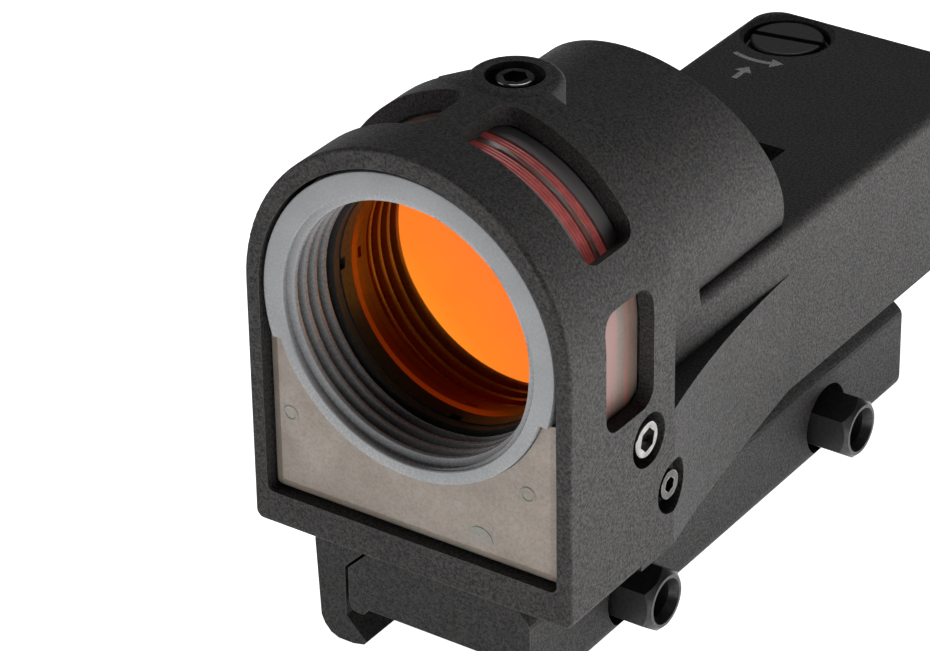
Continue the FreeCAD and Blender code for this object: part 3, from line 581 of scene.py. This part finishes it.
def fibre_windings(materials):
    """Two bands of fibre, each one strand wound edge to edge."""
    bm = bmesh.new()
    around = 160
    section = 10
    for near, far, count in FIBRE_BANDS:
        pitch = (far - near - 2 * FIBRE_RADIUS) / (count - 1)
        rows = []
        for k in range(around * count + 1):
            turn = k / around
            angle = 2 * math.pi * turn + FIBRE_START
            middle = near + FIBRE_RADIUS + pitch * winding_place(turn, count)
            row = []
            for s in range(section):
                phi = 2 * math.pi * s / section
                radius = FIBRE_COIL_RADIUS + FIBRE_RADIUS * math.cos(phi)
                y = middle + FIBRE_RADIUS * math.sin(phi)
                row.append(at(radius * math.cos(angle), y, radius * math.sin(angle)))
            rows.append(row)
        first = len(bm.verts)
        skin(bm, rows)
        cap_ends(bm, first, section)
    return piece("fibre_windings", bm, materials, "red_fibre", "sight", ["fibre_coil"], 50)


# ---- the spring under the elevation carriage ----
def return_spring(materials):
    """A coil spring with closed ends, built at one fixed length; the real one shortens as the carriage
    comes down.
    """
    bm = bmesh.new()
    low, high = (end + side * SPRING_WIRE for end, side in zip(SPRING_ENDS, (1, -1)))
    around = 32
    section = 8
    rows = []
    for k in range(SPRING_TURNS * around + 1):
        turn = k / around
        along = (turn - SPRING_CLOSED) / (SPRING_TURNS - 2 * SPRING_CLOSED)
        along = min(1.0, max(0.0, along))
        z = low + (high - low) * along
        angle = 2 * math.pi * turn
        row = []
        for s in range(section):
            phi = 2 * math.pi * s / section
            radius = SPRING_RADIUS + SPRING_WIRE * math.cos(phi)
            row.append(at(SPRING_XY[0] + radius * math.cos(angle),
                          SPRING_XY[1] + radius * math.sin(angle), z + SPRING_WIRE * math.sin(phi)))
        rows.append(row)
    skin(bm, rows)
    cap_ends(bm, 0, section)
    spring = piece("return_spring", bm, materials, "spring_steel", "sight", ["carriage_spring"], 50)
    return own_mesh(spring)


# ---- moulding marks on the light collector ----
def panel_marks(materials):
    """Two small raised rings and a half moon on the collector's front face."""
    bm = bmesh.new()
    around = 48
    half = 24
    steps = 6
    width, height = PANEL_BEAD
    bead = [math.pi * k / steps for k in range(steps + 1)]
    section = [(width * math.cos(phi), height * math.sin(phi)) for phi in bead]
    for x, z in PANEL_RINGS:
        rows = []
        for k in range(around + 1):
            angle = 2 * math.pi * k / around
            rows.append([at(x + (PANEL_RING_RADIUS + out) * math.cos(angle), PANEL_Y - up,
                            z + (PANEL_RING_RADIUS + out) * math.sin(angle)) for out, up in section])
        skin(bm, rows)
    x, z = HALF_MOON
    rim = []
    for k in range(half + 1):
        angle = math.pi * k / half
        rim.append((x + HALF_MOON_RADIUS * math.cos(angle), z + HALF_MOON_RADIUS * math.sin(angle)))
    plate(bm, [at(px, PANEL_Y, pz) for px, pz in rim], Vector((0, -HALF_MOON_LIFT * MM, 0)))
    return piece("collector_marks", bm, materials, "collector_plastic", "sight", (), 40)


def plate(bm, outline, lift):
    """A thin plate with this outline, as thick as the lift."""
    low = [bm.verts.new(point) for point in outline]
    high = [bm.verts.new(point + lift) for point in outline]
    bm.faces.new(low)
    bm.faces.new(high)
    count = len(outline)
    for k in range(count):
        n = (k + 1) % count
        bm.faces.new([low[k], low[n], high[n], high[k]])


# ---- arrows painted on the deck ----
def deck_arrows(materials):
    """A turn arrow that bends round the upright adjuster, and a plain up arrow beside it."""
    bm = bmesh.new()
    up = Vector((0, 0, PAINT * MM))

    def on_arc(radius, degrees):
        angle = math.radians(degrees)
        return at(ADJUSTER[0] + radius * math.cos(angle), ADJUSTER[1] + radius * math.sin(angle), DECK_Z)

    inner = ARC_RADIUS - ARC_WIDTH / 2
    outer = ARC_RADIUS + ARC_WIDTH / 2
    last = ARC_TO - TURN_HEAD_BACK
    steps = 24
    turns = [ARC_FROM + (last - ARC_FROM) * k / steps for k in range(steps + 1)]
    band = [on_arc(outer, turn) for turn in turns] + [on_arc(inner, turn) for turn in reversed(turns)]
    plate(bm, band, up)
    plate(bm, [on_arc(ARC_RADIUS - TURN_HEAD_HALF, last), on_arc(ARC_RADIUS + TURN_HEAD_HALF, last),
               on_arc(ARC_RADIUS, ARC_TO + TURN_HEAD_TIP)], up)
    x = ADJUSTER[0] + UP_ARROW[0]
    y = ADJUSTER[1] + UP_ARROW[1]
    arrow = [(-UP_SHAFT_HALF, 0), (UP_SHAFT_HALF, 0), (UP_SHAFT_HALF, UP_SHAFT),
             (UP_HEAD_HALF, UP_SHAFT), (0, UP_LENGTH), (-UP_HEAD_HALF, UP_SHAFT),
             (-UP_SHAFT_HALF, UP_SHAFT)]
    plate(bm, [at(x + px, y + py, DECK_Z) for px, py in arrow], up)
    return piece("deck_arrows", bm, materials, PAINT_SLOT, "sight", (), 40)


# ---- stage ----
def white_floor():
    """A plain pale floor that glows, and glows more towards +X."""
    bpy.ops.mesh.primitive_plane_add(size=FLOOR_SIZE, location=(0, 0, FLOOR_Z - FLOOR_GAP * MM))
    floor = bpy.context.object
    floor.name = "floor"
    mat = new_material("floor_white", (0.9, 0.9, 0.9), 0.8, Emission_Color=(1, 1, 1, 1))
    side = spread(mat, from_lens(mat)[0], *FLOOR_SIDE)
    side_glow = calculate(mat, "MULTIPLY", side, FLOOR_SIDE_GLOW)
    join(mat, calculate(mat, "ADD", side_glow, FLOOR_GLOW), principled(mat).inputs["Emission Strength"])
    floor.data.materials.append(mat)


def soft_box(name, azimuth, elevation, power, size=0.45, distance=0.9, colour=(1, 1, 1)):
    """A square light that faces the sight; azimuth 0 is ahead of the lens and 90 is +X."""
    turn = math.radians(azimuth)
    lift = math.radians(elevation)
    way = Vector((math.sin(turn) * math.cos(lift), -math.cos(turn) * math.cos(lift),
                  math.sin(lift)))
    data = bpy.data.lights.new(name, "AREA")
    data.shape = "SQUARE"
    data.size = size
    data.energy = power
    data.color = colour
    lamp = bpy.data.objects.new(name, data)
    bpy.context.scene.collection.objects.link(lamp)
    lamp.location = Vector((0, 0, LIGHTS_AIM_Z)) + way * distance
    lamp.rotation_mode = "QUATERNION"
    lamp.rotation_quaternion = (-way).to_track_quat("-Z", "Y")


def studio():
    """Four soft boxes and a faint even light from all round."""
    scene = bpy.context.scene
    scene.view_settings.view_transform = "Standard"
    world = bpy.data.worlds.new("studio")
    world.use_nodes = True
    world.node_tree.nodes["Background"].inputs["Color"].default_value = (0.95, 0.97, 1.0, 1)
    world.node_tree.nodes["Background"].inputs["Strength"].default_value = WORLD_LIGHT
    scene.world = world
    soft_box("side_box", 92, 6, 1.1, colour=(1.0, 0.98, 0.95))
    soft_box("top_box", 200, 60, 2.6)
    soft_box("left_box", 300, 25, 1.2)
    soft_box("front_box", 30, 60, 0.14)


def camera():
    """The camera, turned round its own axis by the roll."""
    azimuth, elevation, roll = (math.radians(a) for a in (AZIMUTH, ELEVATION, ROLL))
    back = Vector((math.sin(azimuth) * math.cos(elevation),
                   -math.cos(azimuth) * math.cos(elevation), math.sin(elevation)))
    right = Vector((0, 0, 1)).cross(back).normalized()
    up = back.cross(right)
    place = at(0, 0, 0) + back * DISTANCE + right * AIM_RIGHT + up * AIM_UP
    rolled_right = math.cos(roll) * right + math.sin(roll) * up
    rolled_up = math.cos(roll) * up - math.sin(roll) * right
    data = bpy.data.cameras.new("camera")
    data.lens = LENS
    data.sensor_width = SENSOR
    data.clip_start = 0.02
    data.clip_end = 30
    cam = bpy.data.objects.new("camera", data)
    bpy.context.scene.collection.objects.link(cam)
    turn = Matrix((rolled_right, rolled_up, back)).transposed().to_4x4()
    cam.matrix_world = Matrix.Translation(place) @ turn
    bpy.context.scene.camera = cam


camera()
studio()
white_floor()
paints = make_materials()
finish_cad_nodes(paints)
threaded_ring(paints)
fibre_windings(paints)
return_spring(paints)
panel_marks(paints)
deck_arrows(paints)
